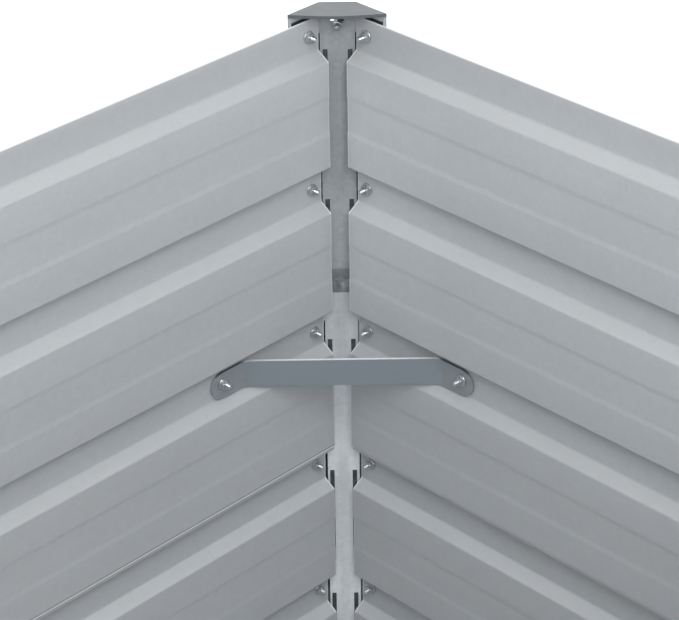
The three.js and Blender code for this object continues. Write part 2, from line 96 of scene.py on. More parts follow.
UPPER_STRIP_FOOT = WALL_HEIGHT - TOP_HOLE_DROP - RIB_PITCH - UPPER_STRIP_TAIL
SEAM_LAP_END = 0.015
SEAM_STEPPED = 0.018
SEAM_LEVEL = 0.03

# M5 bolts with domed heads, and hexagon nuts, in metres.
HEAD_RADIUS = 0.005
CAP_HEAD_RADIUS = 0.0035
HEAD_HEIGHT = 0.0028
HEAD_ROUNDNESS = 0.98
SOCKET_SHARE = 0.36
SOCKET_ACROSS_FLATS = 0.003
SOCKET_FLOOR_OUT = 0.0011
SHANK_RADIUS = 0.0025
NECK_RADIUS = 0.0026
NECK_LENGTH = 0.0002
TIP_LENGTH = 0.0006
TIP_RADIUS = 0.0016
THREAD_PITCH = 0.0008
THREAD_DEPTH = 0.00038
THREAD_RINGS = 78
BOLT_REACH = 0.0102
NUT_ACROSS_FLATS = 0.008
NUT_HEIGHT = 0.005
NUT_BORE_RADIUS = 0.00257
FLANGE_RADIUS = 0.0059
FLANGE_HEIGHT = 0.0012
PLAIN_NUT_RADIUS = 0.0044

# Each corner: its corner line and its quarter turns.
CORNERS = {
    "front_left": (-HALF_LENGTH, -HALF_WIDTH, 0),
    "front_right": (HALF_LENGTH, -HALF_WIDTH, 1),
    "back_right": (HALF_LENGTH, HALF_WIDTH, 2),
    "back_left": (-HALF_LENGTH, HALF_WIDTH, 3),
}

# Each wall: how far out it stands, half its run, its quarter turns and the names of its halves, if any.
WALLS = {
    "front": (HALF_WIDTH, HALF_LENGTH, 0, ("left", "right")),
    "right": (HALF_LENGTH, HALF_WIDTH, 1, ()),
    "back": (HALF_WIDTH, HALF_LENGTH, 2, ("right", "left")),
    "left": (HALF_LENGTH, HALF_WIDTH, 3, ()),
}

# Each corner piece: its slot, and its finish outside, on its inner faces and on its far inner faces.
CORNER_PARTS = {
    # The post's inner finish is painted shade, so its windows and joint gap read as deep hollows.
    "post": ("post", ("post", "post_inside")),
    "upper_strip": ("strip", ("strip_upper",)),
    "lower_strip": ("strip", ("strip_lower",)),
    # The cap's inner and far inner finishes are lit copies of its steel: painted light.
    "cap": ("cap", ("cap", "cap_inside", "cap_flap")),
    "brace": ("brace", ("brace",)),
}

# Each light: its place, where it aims, its side and its power. The low fills stay outside the walls.
LIGHTS = {
    "softbox_above": ((-0.2, 0.1, 3.4), (-0.3, 0.0, 0.0), 3.2, 18.0),
    "softbox_camera_side": ((0.25, 0.95, 1.9), (-0.7, -0.3, 0.45), 1.1, 26.0),
    "low_fill_right_back": ((2.1, 1.7, 0.4), (0.0, 0.0, 0.33), 1.6, 17.0),
    "low_fill_left_front": ((-2.1, -1.7, 0.4), (0.0, 0.0, 0.33), 1.6, 17.0),
}

CAMERA_RIGHT = (-0.70361, 0.71047, -0.01269)
CAMERA_LOOK = (-0.60435, -0.60771, -0.51522)


# ------------------------------------------------------------------ settings


class BedShapeSettings(bpy.types.PropertyGroup):
    bend_radius: FloatProperty(
        name="Bend radius", description="Radius of the sheet's rib bends", default=0.0026, unit="LENGTH"
    )
    hem_height: FloatProperty(
        name="Hem height", description="Height of the folded top hem", default=0.007, unit="LENGTH"
    )
    hem_thickness: FloatProperty(
        name="Hem thickness", description="Thickness of the folded top hem", default=0.0015, unit="LENGTH"
    )
    fold_radius: FloatProperty(
        name="Fold radius", description="Rounding of the corner pieces' folds", default=0.0013, unit="LENGTH"
    )
    brace_radius: FloatProperty(
        name="Brace radius", description="Rounding of the braces' folds", default=0.006, unit="LENGTH"
    )
    rim_radius: FloatProperty(
        name="Rim radius", description="Rounding of sheet rims", default=0.00022, unit="LENGTH"
    )
    nut_sides: IntProperty(name="Nut sides", description="Facets round a nut or bolt", default=36, min=12)


def color_setting(name, description, default):
    """A setting that holds a colour."""
    return FloatVectorProperty(name=name, description=description, default=default, subtype="COLOR")


class BedFinishSettings(bpy.types.PropertyGroup):
    sheet_color: color_setting("Sheet", "Wall sheet colour", (0.55, 0.572, 0.59))
    strip_upper_color: color_setting("Upper strip", "Upper strip colour", (0.482, 0.507, 0.525))
    strip_shade_color: color_setting("Chamfer shade", "Shade laid on the upper chamfers", (0.79, 0.795, 0.80))
    strip_lower_color: color_setting("Lower strip", "Lower strip colour", (0.59, 0.617, 0.637))
    post_color: color_setting("Post", "Outer post colour", (0.42, 0.45, 0.46))
    # Painted shade: the post's inner face is near-black so the hollow seen through the strips' windows reads
    # dark.
    post_inside_shade_color: color_setting("Post inside", "Colour of the post's inner face", (0.08, 0.087, 0.092))
    cap_color: color_setting("Cap", "Corner cap colour", (0.232, 0.25, 0.262))
    # Painted light: the cap's inner faces and end flaps are lighter copies of the cap's steel, where the lamp
    # by the camera reaches them.
    cap_inside_lit_color: color_setting("Cap inside", "Colour of the cap's inner faces", (0.5, 0.53, 0.55))
    cap_flap_lit_color: color_setting("Cap flaps", "Colour of the cap's end flaps", (0.48, 0.5, 0.515))
    # Painted shade: the cap's lip and the brace tabs' upper edges, and below, the cap's narrow hollows, are
    # darkened where they lie in shadow.
    cap_lip_shade_color: color_setting("Cap lip", "Colour of the cap's turned-down lip", (0.13, 0.14, 0.15))
    hollow_shade_color: color_setting("Hollows", "Dark steel in narrow hollows", (0.05, 0.054, 0.058))
    brace_color: color_setting("Brace", "Corner brace colour", (0.326, 0.355, 0.378))
    # Painted reflection: the brace's faces that look along the diagonal get their own tone.
    brace_bar_reflection_color: color_setting("Brace bar", "Colour of the brace's middle", (0.30, 0.342, 0.385))
    zinc_color: color_setting("Zinc", "Bright zinc of the fasteners", (0.57, 0.59, 0.605))
    # Painted shade on the wall sheets: on ledges, on the middles' slants, low down and above the upper tier's
    # foot.
    painted_shade_color: color_setting("Painted shade", "Grime on ledges and low down", (0.30, 0.31, 0.32))


class BedStageSettings(bpy.types.PropertyGroup):
    camera_place: FloatVectorProperty(
        name="Camera", description="Camera place", default=(0.617, 1.0224, 1.6522), subtype="TRANSLATION",
        unit="LENGTH", precision=5,
    )
    camera_lens: FloatProperty(name="Lens", description="Focal length on a 36 mm sensor", default=129.4)
    floor_size: FloatProperty(name="Floor size", description="Side of the floor", default=40.0, unit="LENGTH")
    world_strength: FloatProperty(name="World", description="Strength of the even light", default=0.62)


# ------------------------------------------------------------------ shapes

# Turns between faces, in radians, that are sharp, a rim, flat or a fold, and the shares of a direction from
# which an edge counts as upright and a face as looking inwards.
SHARP_ANGLE = np.radians(32)
RIM_ANGLE = np.radians(60)
FLAT_ANGLE = np.radians(1)
FOLD_TURN = (0.5, 1.0)
UPRIGHT_SHARE = 0.9
INWARD_SHARE = 0.5


def turned(points, quarter_turns):
    """Points turned about the upright axis by whole quarter turns."""
    cos, sin = ((1, 0), (0, 1), (-1, 0), (0, -1))[quarter_turns % 4]
    x, y, z = np.moveaxis(points, -1, 0)
    return np.stack([cos * x - sin * y, sin * x + cos * y, z], -1)


def rounded_line(points, radius, steps):
    """A polyline whose inner corners become curves: at each corner the two tangent points, one tangent length
    before and after it, are joined by the quadratic curve that is pulled towards the corner."""
    points = np.asarray(points, float)
    before = points[1:-1] - points[:-2]
    after = points[2:] - points[1:-1]
    before_length = np.linalg.norm(before, axis=1, keepdims=True)
    after_length = np.linalg.norm(after, axis=1, keepdims=True)
    before, after = before / before_length, after / after_length
    turn = np.arccos(np.clip((before * after).sum(1, keepdims=True), -1, 1))
    tangent = np.minimum(radius * np.tan(turn / 2), 0.48 * np.minimum(before_length, after_length))
    start, end = points[1:-1] - before * tangent, points[1:-1] + after * tangent
    share = np.linspace(0, 1, steps + 1)[None, :, None]
    curve = (1 - share) ** 2 * start[:, None] + 2 * share * (1 - share) * points[1:-1, None]
    curve = curve + share**2 * end[:, None]
    return np.vstack([points[:1], curve.reshape(-1, 2), points[-1:]])


def mesh_object(name, points, faces, material):
    """A piece at the origin whose mesh holds its place, riding on the bed's one body."""
    mesh = bpy.data.meshes.new(name)
    mesh.from_pydata(np.asarray(points, float).reshape(-1, 3).tolist(), [], faces)
    mesh.validate()
    mesh.shade_smooth()
    mesh.set_sharp_from_angle(angle=SHARP_ANGLE)
    mesh.materials.append(material)
    piece = bpy.data.objects.new(name, mesh)
    bpy.context.scene.collection.objects.link(piece)
    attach(piece, "root")
    return piece


def grid_faces(rows, columns, close_rows=False, first=0):
    """Quads between neighbouring rows of a grid whose columns close on themselves. Its rows may close too."""
    row = np.arange(rows if close_rows else rows - 1)[:, None]
    column = np.arange(columns)[None, :]
    here = row % rows * columns
    there = (row + 1) % rows * columns
    following = (column + 1) % columns
    quads = np.stack([here + column, there + column, there + following, here + following], -1)
    return (quads.reshape(-1, 4) + first).tolist()


def sheet_face(top):
    """Inner face of a wall sheet from its top edge down: each pan stands in by the rib depth between two
    slants, and its middle third is set back by the crease depth."""
    third, half_run = PAN_HEIGHT / 3, CREASE_HALF_RUN
    creased = RIB_DEPTH - CREASE_DEPTH
    pan = [
        (0, 0), (RIB_DEPTH, -SLANT_DROP),
        (RIB_DEPTH, -SLANT_DROP - third + half_run), (creased, -SLANT_DROP - third - half_run),
        (creased, -SLANT_DROP - 2 * third + half_run), (RIB_DEPTH, -SLANT_DROP - 2 * third - half_run),
        (RIB_DEPTH, -SLANT_DROP - PAN_HEIGHT), (0, -2 * SLANT_DROP - PAN_HEIGHT),
    ]
    starts = [(0, top - TOP_FLAT - index * RIB_PITCH) for index in range(PANS_PER_SHEET)]
    pans = np.array(pan)[None] + np.array(starts)[:, None]
    return np.vstack([[(0, top)], pans.reshape(-1, 2)[:-1]])


def sheet_section(top, shape, hem):
    """Closed outline of a sheet: the rounded inner face, the same line set back by the sheet's thickness, and
    a half round along the top edge. The hem thickens the back over its height."""
    face = sheet_face(top)
    hem_foot = top - shape.hem_height
    head = np.array([(0, top - hem / 2), (0, hem_foot), (0, hem_foot - HEM_RUN_OUT)])
    line = np.vstack([head, rounded_line(face, shape.bend_radius, 5)[1:]])
    thickness = np.where(line[:, 1] >= hem_foot - 1e-9, hem, SHEET_THICKNESS)
    back = line - np.stack([thickness, np.zeros(len(line))], -1)
    angle = np.linspace(np.pi, 0, 7)[1:-1]
    crown = np.stack([-hem / 2 + hem / 2 * np.cos(angle), top - hem / 2 + hem / 2 * np.sin(angle)], -1)
    return np.vstack([line, back[::-1], crown])


def sheet_stations(side, half_run, steps):
    """Places along a sheet, how far it is stepped out there and the hem's share. Side 0 runs from post to
    post; side -1 ends inside the seam's lap and side 1 begins there, stepped out over the other half. The hem
    ends before the lap."""
    end = half_run - SHEET_END
    if side == 0:
        return np.array([(-end, 0.0, 1.0), (end, 0.0, 1.0)])
    out = steps * SHEET_STEP
    blend = np.linspace(0, 1, 7)
    step_up = np.stack([
        -SEAM_LEVEL + (SEAM_LEVEL - SEAM_STEPPED) * blend, out * blend**2 * (3 - 2 * blend), 1 - blend,
    ], -1)
    stations = np.vstack([[(-end, 0.0, 1.0)], step_up, [(SEAM_LAP_END, out, 0.0)]])
    return stations if side < 0 else (stations * (-1, 1, 1))[::-1]


def wall_sheet(name, top, out, stations, wall_out, quarter_turns, shape, hem, material):
    """A sheet's section carried along the wall through its stations, with both ends closed."""
    hems = SHEET_THICKNESS + (hem - SHEET_THICKNESS) * stations[:, 2]
    sections = np.array([sheet_section(top, shape, thickness) for thickness in hems])
    along = np.broadcast_to(stations[:, None, 0], sections.shape[:2])
    inward = sections[:, :, 0] - out - stations[:, None, 1] - wall_out
    points = turned(np.stack([along, inward, sections[:, :, 1]], -1), quarter_turns)
    count = sections.shape[1]
    last = (len(stations) - 1) * count
    ends = [list(range(count)), [last + index for index in reversed(range(count))]]
    piece = mesh_object(name + "_formed", points, grid_faces(len(stations), count) + ends, material)
    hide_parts(name)


def spun_rings(profile, radii, sides):
    """Rings round the Y axis: profile gives the place along it, radii the radius at each angle."""
    angle = np.arange(sides) * 2 * np.pi / sides
    x, z = radii * np.cos(angle), radii * np.sin(angle)
    return np.stack([x, np.broadcast_to(np.asarray(profile)[:, None], x.shape), z], -1)


def hexagon(sides, across_flats):
    """Radius of a hexagon at each angle: half the width across flats over the cosine of the angle to the
    nearest flat's middle."""
    angle = np.arange(sides) * 2 * np.pi / sides
    folded = (angle + np.pi / 6) % (np.pi / 3) - np.pi / 6
    return across_flats / 2 / np.cos(folded)


def bolt_rings(outer, tip, sides, head_radius=HEAD_RADIUS):
    """A domed head with a hexagon socket, and a shank whose radius follows the thread: a triangle wave of the
    distance along it less the share of a turn."""
    plain = np.ones(sides)
    socket = hexagon(sides, SOCKET_ACROSS_FLATS)
    share = np.linspace(SOCKET_SHARE, 1, 6)
    dome_place = -outer - HEAD_HEIGHT * np.sqrt(1 - share**2 * HEAD_ROUNDNESS)
    socket_floor = -outer - SOCKET_FLOOR_OUT
    turn_share = np.arange(sides) / sides
    along = np.linspace(-outer + NECK_LENGTH, tip - TIP_LENGTH, THREAD_RINGS)
    wave = np.abs(((along[:, None] / THREAD_PITCH - turn_share[None]) % 1) * 2 - 1)
    places = np.concatenate([
        [socket_floor, socket_floor, dome_place[0]], dome_place, [-outer, -outer], along, [tip, tip],
    ])
    radii = np.vstack([
        0.0 * plain, socket, socket, head_radius * share[:, None] * plain, head_radius * plain,
        NECK_RADIUS * plain, SHANK_RADIUS - THREAD_DEPTH * wave, TIP_RADIUS * plain, 0.0 * plain,
    ])
    return spun_rings(places, radii, sides)


def nut_rings(start, flange_radius, sides):
    """A hexagon nut as a closed loop of rings: bore, flange, flats, and the cone that rounds the top."""
    plain = np.ones(sides)
    flats = hexagon(sides, NUT_ACROSS_FLATS)
    half_flats, edge = NUT_ACROSS_FLATS / 2, 0.0003
    top, flange_top = start + NUT_HEIGHT, start + FLANGE_HEIGHT
    rows = [
        (start, NUT_BORE_RADIUS * plain), (start, (flange_radius - edge) * plain),
        (start + 0.0004, flange_radius * plain), (flange_top - edge, flange_radius * plain),
        (flange_top, (flange_radius - 0.0002) * plain),
        (flange_top + 0.0004, np.maximum(flats, flange_radius * 0.72)), (flange_top + 0.0007, flats),
        (top - 0.0006, flats), (top - 0.0002, np.minimum(flats, half_flats + 0.00005)),
        (top, (half_flats - edge) * plain), (top, 0.0029 * plain), (top - edge, NUT_BORE_RADIUS * plain),
    ]
    return spun_rings([place for place, _ in rows], np.array([radius for _, radius in rows]), sides)


def fastener_group(name, places, rings_of, closed, material, replaced=()):
    """Many like fasteners in one mesh. Each place is a turn about the upright axis, a point, and what its
    rings are made from."""
    points, faces, first = [], [], 0
    for angle, point, arguments in places:
        rings = rings_of(*arguments)
        rows, sides = rings.shape[:2]
        cos, sin = np.cos(angle), np.sin(angle)
        x, y, z = np.moveaxis(rings, -1, 0)
        placed = np.stack([cos * x - sin * y, sin * x + cos * y, z], -1).reshape(-1, 3)
        points.append(placed + np.asarray(point))
        faces += grid_faces(rows, sides, closed, first)
        first += rows * sides
    piece = mesh_object(name, np.vstack(points), faces, material)
    merged(piece.data, 1e-7)
    if replaced:
        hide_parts(*replaced)


def merged(mesh, distance):
    """Joins doubled points and turns the faces outwards."""
    work = bmesh.new()
    work.from_mesh(mesh)
    bmesh.ops.remove_doubles(work, verts=work.verts, dist=distance)
    bmesh.ops.recalc_face_normals(work, faces=work.faces)
    work.to_mesh(mesh)
    work.free()


def folded_copy(node):
    """A mesh of one solid with its flat faces whole and its upright folds weighted for rounding. Folds turn
    by less than 60 degrees and rims by more."""
    mesh = bpy.data.meshes.new(node + "_formed")
    work = bmesh.new()
    work.from_mesh(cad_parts[node].data)
    bmesh.ops.remove_doubles(work, verts=work.verts, dist=1e-6)
    bmesh.ops.dissolve_limit(work, angle_limit=FLAT_ANGLE, verts=work.verts, edges=work.edges)
    weight = work.edges.layers.float.new("bevel_weight_edge")
    for edge in work.edges:
        turn = edge.calc_face_angle(0.0)
        upright = abs((edge.verts[0].co - edge.verts[1].co).normalized().z)
        edge[weight] = 1.0 if FOLD_TURN[0] < turn < FOLD_TURN[1] and upright > UPRIGHT_SHARE else 0.0
    work.to_mesh(mesh)
    work.free()
    mesh.shade_smooth()
    return mesh


def rounded_copy(node, fold_radius, rim_radius, materials):
    """A folded steel piece with rounded folds and rims, in place of its plain solid."""
    mesh = folded_copy(node)
    for material in materials:
        mesh.materials.append(material)
    piece = bpy.data.objects.new(mesh.name, mesh)
    bpy.context.scene.collection.objects.link(piece)
    folds = piece.modifiers.new("Rounded folds", "BEVEL")
    folds.limit_method = "WEIGHT"
    folds.width = fold_radius
    folds.segments = 5
    folds.use_clamp_overlap = True
    rims = piece.modifiers.new("Rounded rims", "BEVEL")
    rims.limit_method = "ANGLE"
    rims.angle_limit = RIM_ANGLE
    rims.width = rim_radius
    rims.segments = 2
    rims.use_clamp_overlap = False
    rims.harden_normals = True
    flats = piece.modifiers.new("Flats keep their normals", "WEIGHTED_NORMAL")
    flats.mode = "FACE_AREA"
    flats.keep_sharp = True
    bpy.context.view_layer.update()
    settled = bpy.data.meshes.new_from_object(piece.evaluated_get(bpy.context.evaluated_depsgraph_get()))
    piece.modifiers.clear()
    piece.data = settled
    settled.name = mesh.name
    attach(piece, "root")
    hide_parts(node)
    return piece


def mark_inner_faces(mesh, x, y, flap_reach):
    """Gives the second finish to faces that look into the bed, and the third to those of them that lie beyond
    a reach from the corner."""
    normals, centers = np.zeros(len(mesh.polygons) * 3), np.zeros(len(mesh.polygons) * 3)
    mesh.polygons.foreach_get("normal", normals)
    mesh.polygons.foreach_get("center", centers)
    normals, centers = normals.reshape(-1, 3), centers.reshape(-1, 3)
    inward = -(normals[:, 0] * np.sign(x) + normals[:, 1] * np.sign(y)) > INWARD_SHARE
    beyond = np.abs(centers[:, :2] - (x, y)).max(1) > flap_reach
    mesh.polygons.foreach_set("material_index", (inward * (1 + beyond)).astype(np.int32))
    mesh.update()


# ------------------------------------------------------------------ finishes

SCUFF_COLOR = (0.75, 0.77, 0.78, 1.0)
DUST_COLOR = (0.62, 0.63, 0.62, 1.0)
# Painted highlight on edges that catch the light: the sheets' ends and top, the upper tier's foot and the
# brace's upper edge.
EDGE_HIGHLIGHT_COLOR = (0.9, 0.91, 0.93)


def new_group(name, inputs, outputs):
    """An empty shader group with the named sockets, and its two ends."""
    group = bpy.data.node_groups.new(name, "ShaderNodeTree")
    for socket_name, kind, default in inputs:
        socket = group.interface.new_socket(name=socket_name, in_out="INPUT", socket_type=kind)
        socket.default_value = default
    for socket_name, kind in outputs:
        group.interface.new_socket(name=socket_name, in_out="OUTPUT", socket_type=kind)
    return group, group.nodes.new("NodeGroupInput"), group.nodes.new("NodeGroupOutput")


def add_node(tree, kind, links=(), **values):
    """A node with settings by attribute name and inputs by socket name or number."""
    node = tree.nodes.new(kind)
    for key, value in values.items():
        setattr(node, key, value)
    for socket, source in dict(links).items():
        if isinstance(source, bpy.types.NodeSocket):
            tree.links.new(source, node.inputs[socket])
        else:
            node.inputs[socket].default_value = source
    return node


def group_node(tree, name, links):
    """A node that stands for one of the shared groups, with its inputs by name."""
    return add_node(tree, "ShaderNodeGroup", links, node_tree=bpy.data.node_groups[name])


def math_node(tree, operation, first, second=0.0, third=None):
    """The value of a sum or other operation on two or three values."""
    links = {0: first, 1: second}
    if third is not None:
        links[2] = third
    return add_node(tree, "ShaderNodeMath", links, operation=operation).outputs[0]


def ramp(tree, value, start, end, low=0.0, high=1.0):
    """A value that goes from low to high while another goes from start to end, and is level outside that."""
    return add_node(tree, "ShaderNodeMapRange", {0: value, 1: start, 2: end, 3: low, 4: high}).outputs[0]


def mixed_color(tree, share, first, second):
    """A colour between two, by a share."""
    return add_node(tree, "ShaderNodeMix", {0: share, 6: first, 7: second}, data_type="RGBA").outputs[2]


def split_place(tree):
    """The X, Y and Z of a point in the bed's own coordinates."""
    place = add_node(tree, "ShaderNodeTexCoord").outputs["Object"]
    return add_node(tree, "ShaderNodeSeparateXYZ", {0: place}).outputs


def upward_look(tree):
    """How far a face looks upwards, from -1 to 1."""
    normal = add_node(tree, "ShaderNodeNewGeometry").outputs["Normal"]
    return add_node(tree, "ShaderNodeSeparateXYZ", {0: normal}).outputs[2]


def facing_group():
    """How far a face looks along an axis, either way, as a mask that is full beyond a high share and empty
    below a low one."""
    group, entry, end = new_group(
        "Facing mask",
        [
            ("Axis", "NodeSocketVector", (0, 0, 1)), ("Low", "NodeSocketFloat", 0.6),
            ("High", "NodeSocketFloat", 0.85),
        ],
        [("Mask", "NodeSocketFloat")],
    )
    normal = add_node(group, "ShaderNodeNewGeometry").outputs["Normal"]
    share = add_node(
        group, "ShaderNodeVectorMath", {0: normal, 1: entry.outputs["Axis"]}, operation="DOT_PRODUCT"
    ).outputs["Value"]
    either = math_node(group, "ABSOLUTE", share)
    group.links.new(ramp(group, either, entry.outputs["Low"], entry.outputs["High"]), end.inputs["Mask"])
    return group


def zinc_group():
    """Zinc skin: broad clouds, streaks left by the rollers and small crystal cells, as one tone round a half,
    with a height for the bump."""
    group, entry, end = new_group(
        "Zinc skin",
        [
            ("Place", "NodeSocketVector", (0, 0, 0)), ("Streak scale", "NodeSocketVector", (1, 60, 60)),
            ("Cloud scale", "NodeSocketFloat", 5.0), ("Crystal scale", "NodeSocketFloat", 190.0),
        ],
        [("Tone", "NodeSocketFloat"), ("Streaks", "NodeSocketFloat"), ("Height", "NodeSocketFloat")],
    )
    place = entry.outputs["Place"]
    clouds = add_node(group, "ShaderNodeTexNoise", {
        "Vector": place, "Scale": entry.outputs["Cloud scale"], "Detail": 4.0, "Roughness": 0.55,
    }).outputs["Fac"]
    stretched = add_node(
        group, "ShaderNodeVectorMath", {0: place, 1: entry.outputs["Streak scale"]}, operation="MULTIPLY"
    ).outputs[0]
    streaks = add_node(group, "ShaderNodeTexNoise", {
        "Vector": stretched, "Scale": 1.0, "Detail": 5.0, "Roughness": 0.6,
    }).outputs["Fac"]
    cells = add_node(group, "ShaderNodeTexVoronoi", {
        "Vector": place, "Scale": entry.outputs["Crystal scale"], "Randomness": 1.0,
    }).outputs["Color"]
    cell_tone = add_node(group, "ShaderNodeSeparateColor", {0: cells}).outputs[0]
    fine = add_node(group, "ShaderNodeTexNoise", {
        "Vector": place, "Scale": 900.0, "Detail": 2.0,
    }).outputs["Fac"]
    tone = math_node(group, "MULTIPLY_ADD", streaks, 0.35, math_node(group, "MULTIPLY", clouds, 0.45))
    tone = math_node(group, "MULTIPLY_ADD", cell_tone, 0.2, tone)
    height = math_node(group, "MULTIPLY_ADD", fine, 0.35, math_node(group, "MULTIPLY", streaks, 0.65))
    group.links.new(tone, end.inputs["Tone"])
    group.links.new(streaks, end.inputs["Streaks"])
    group.links.new(height, end.inputs["Height"])
    return group


def dust_group():
    """Pale dust where a face looks up, broken up by noise."""
    group, entry, end = new_group(
        "Settled dust",
        [("Place", "NodeSocketVector", (0, 0, 0)), ("Amount", "NodeSocketFloat", 0.3)],
        [("Mask", "NodeSocketFloat")],
    )
    upward = ramp(group, upward_look(group), 0.25, 0.95)
    patches = add_node(group, "ShaderNodeTexNoise", {
        "Vector": entry.outputs["Place"], "Scale": 28.0, "Detail": 6.0, "Roughness": 0.65,
    }).outputs["Fac"]
    mask = math_node(group, "MULTIPLY", upward, ramp(group, patches, 0.35, 0.75, 0.25, 1.0))
    group.links.new(math_node(group, "MULTIPLY", mask, entry.outputs["Amount"]), end.inputs["Mask"])
    return group


def scuff_group():
    """Fine scratches from handling: thin bands of a stretched noise, in two directions."""
    group, entry, end = new_group(
        "Handling scuffs",
        [("Place", "NodeSocketVector", (0, 0, 0)), ("Scale", "NodeSocketFloat", 1.0)],
        [("Mask", "NodeSocketFloat")],
    )
    masks = []
    for stretch in ((14.0, 220.0, 260.0), (260.0, 18.0, 170.0)):
        place = add_node(
            group, "ShaderNodeVectorMath", {0: entry.outputs["Place"], 1: stretch}, operation="MULTIPLY"
        ).outputs[0]
        noise = add_node(group, "ShaderNodeTexNoise", {
            "Vector": place, "Scale": entry.outputs["Scale"], "Detail": 2.0, "Distortion": 0.4,
        }).outputs["Fac"]
        masks.append(ramp(group, noise, 0.66, 0.74))
    group.links.new(math_node(group, "MAXIMUM", *masks), end.inputs["Mask"])
    return group


def steel_material(name, color, metallic, roughness, streak_scale, contrast, dust=0.2, scuff=0.12,
                   crystal_scale=190.0, cloud_scale=5.0):
    """Galvanised steel: the colour is darkened and lightened by the zinc skin, dust lies on top, and scuffs
    brighten it. Dust and streaks change its gloss."""
    material = bpy.data.materials.new(name)
    material.use_nodes = True
    tree = material.node_tree
    shader = tree.nodes["Principled BSDF"]
    place = add_node(tree, "ShaderNodeTexCoord").outputs["Object"]
    skin = group_node(tree, "Zinc skin", {
        "Place": place, "Streak scale": streak_scale,
        "Crystal scale": crystal_scale, "Cloud scale": cloud_scale,
    })
    scuffs = group_node(tree, "Handling scuffs", {"Place": place})
    settled = group_node(tree, "Settled dust", {"Place": place, "Amount": dust})
    dark = tuple(channel * (1 - contrast) for channel in color) + (1.0,)
    light = tuple(min(1.0, channel * (1 + contrast)) for channel in color) + (1.0,)
    base = mixed_color(tree, ramp(tree, skin.outputs["Tone"], 0.3, 0.7), dark, light)
    scuffed = mixed_color(tree, math_node(tree, "MULTIPLY", scuffs.outputs["Mask"], scuff), base, SCUFF_COLOR)
    dusty = mixed_color(tree, settled.outputs["Mask"], scuffed, DUST_COLOR)
    tree.links.new(dusty, shader.inputs["Base Color"])
    gloss = math_node(tree, "MULTIPLY_ADD", skin.outputs["Streaks"], 0.16, roughness - 0.08)
    gloss = math_node(tree, "MULTIPLY_ADD", settled.outputs["Mask"], 0.3, gloss)
    tree.links.new(gloss, shader.inputs["Roughness"])
    bare_share = math_node(tree, "MULTIPLY_ADD", settled.outputs["Mask"], -metallic, metallic)
    tree.links.new(bare_share, shader.inputs["Metallic"])
    height = math_node(tree, "MULTIPLY_ADD", scuffs.outputs["Mask"], -0.3, skin.outputs["Height"])
    relief = add_node(tree, "ShaderNodeBump", {"Strength": 0.05, "Distance": 0.002, "Height": height})
    tree.links.new(relief.outputs["Normal"], shader.inputs["Normal"])
    return material


def tint_by_mask(material, mask_of, color, blend="MIX"):
    """Lays a colour over the finish, or multiplies the finish by it, where a mask says so. The mask is made
    in the material's own tree."""
    tree = material.node_tree
    target = tree.nodes["Principled BSDF"].inputs["Base Color"]
    laid = mixed_color(tree, mask_of(tree), target.links[0].from_socket, (*color, 1.0))
    laid.node.blend_type = blend
    tree.links.new(laid, target)


def shade_by_mask(material, mask_of, factor):
    """Darkens or lightens the finish by a factor where a mask says so, and keeps its grain."""
    tint_by_mask(material, mask_of, (factor, factor, factor), "MULTIPLY")


def facing(axis, low, high, strength=1.0):
    """A mask maker for faces that look along an axis."""
    def mask_of(tree):
        mask = group_node(tree, "Facing mask", {"Axis": axis, "Low": low, "High": high}).outputs["Mask"]
        return math_node(tree, "MULTIPLY", mask, strength)
    return mask_of


def between_heights(empty, full, strength=1.0):
    """A mask maker that fills from one height to another."""
    def mask_of(tree):
        return ramp(tree, split_place(tree)[2], empty, full, high=strength)
    return mask_of


def height_band(low, high, strength=1.0, soft=0.0003):
    """A mask maker that is full between two heights."""
    return both(between_heights(low - soft, low, strength), between_heights(high + soft, high))


def away_from_middle(axis, empty, full, strength=1.0):
    """A mask maker that fills from one distance to another from the bed's middle, along X (0) or Y (1)."""
    def mask_of(tree):
        distance = math_node(tree, "ABSOLUTE", split_place(tree)[axis])
        return ramp(tree, distance, empty, full, high=strength)
    return mask_of


def looking_up(low, high, least=0.0, strength=1.0):
    """A mask maker that rises from its least value to its strength as faces look further upwards."""
    def mask_of(tree):
        return ramp(tree, upward_look(tree), low, high, least, strength)
    return mask_of


def off_diagonal(near, far, strength=1.0):
    """A mask maker that fills with the distance from the upright plane that halves a corner."""
    def mask_of(tree):
        x, y, _ = split_place(tree)
        longer = math_node(tree, "SUBTRACT", math_node(tree, "ABSOLUTE", x), math_node(tree, "ABSOLUTE", y))
        apart = math_node(tree, "MULTIPLY_ADD", longer, 0.5**0.5, (HALF_WIDTH - HALF_LENGTH) * 0.5**0.5)
        distance = math_node(tree, "ABSOLUTE", apart)
        return ramp(tree, distance, near, far, high=strength)
    return mask_of


def both(first, second):
    """A mask maker that multiplies two masks."""
    def mask_of(tree):
        return math_node(tree, "MULTIPLY", first(tree), second(tree))
    return mask_of


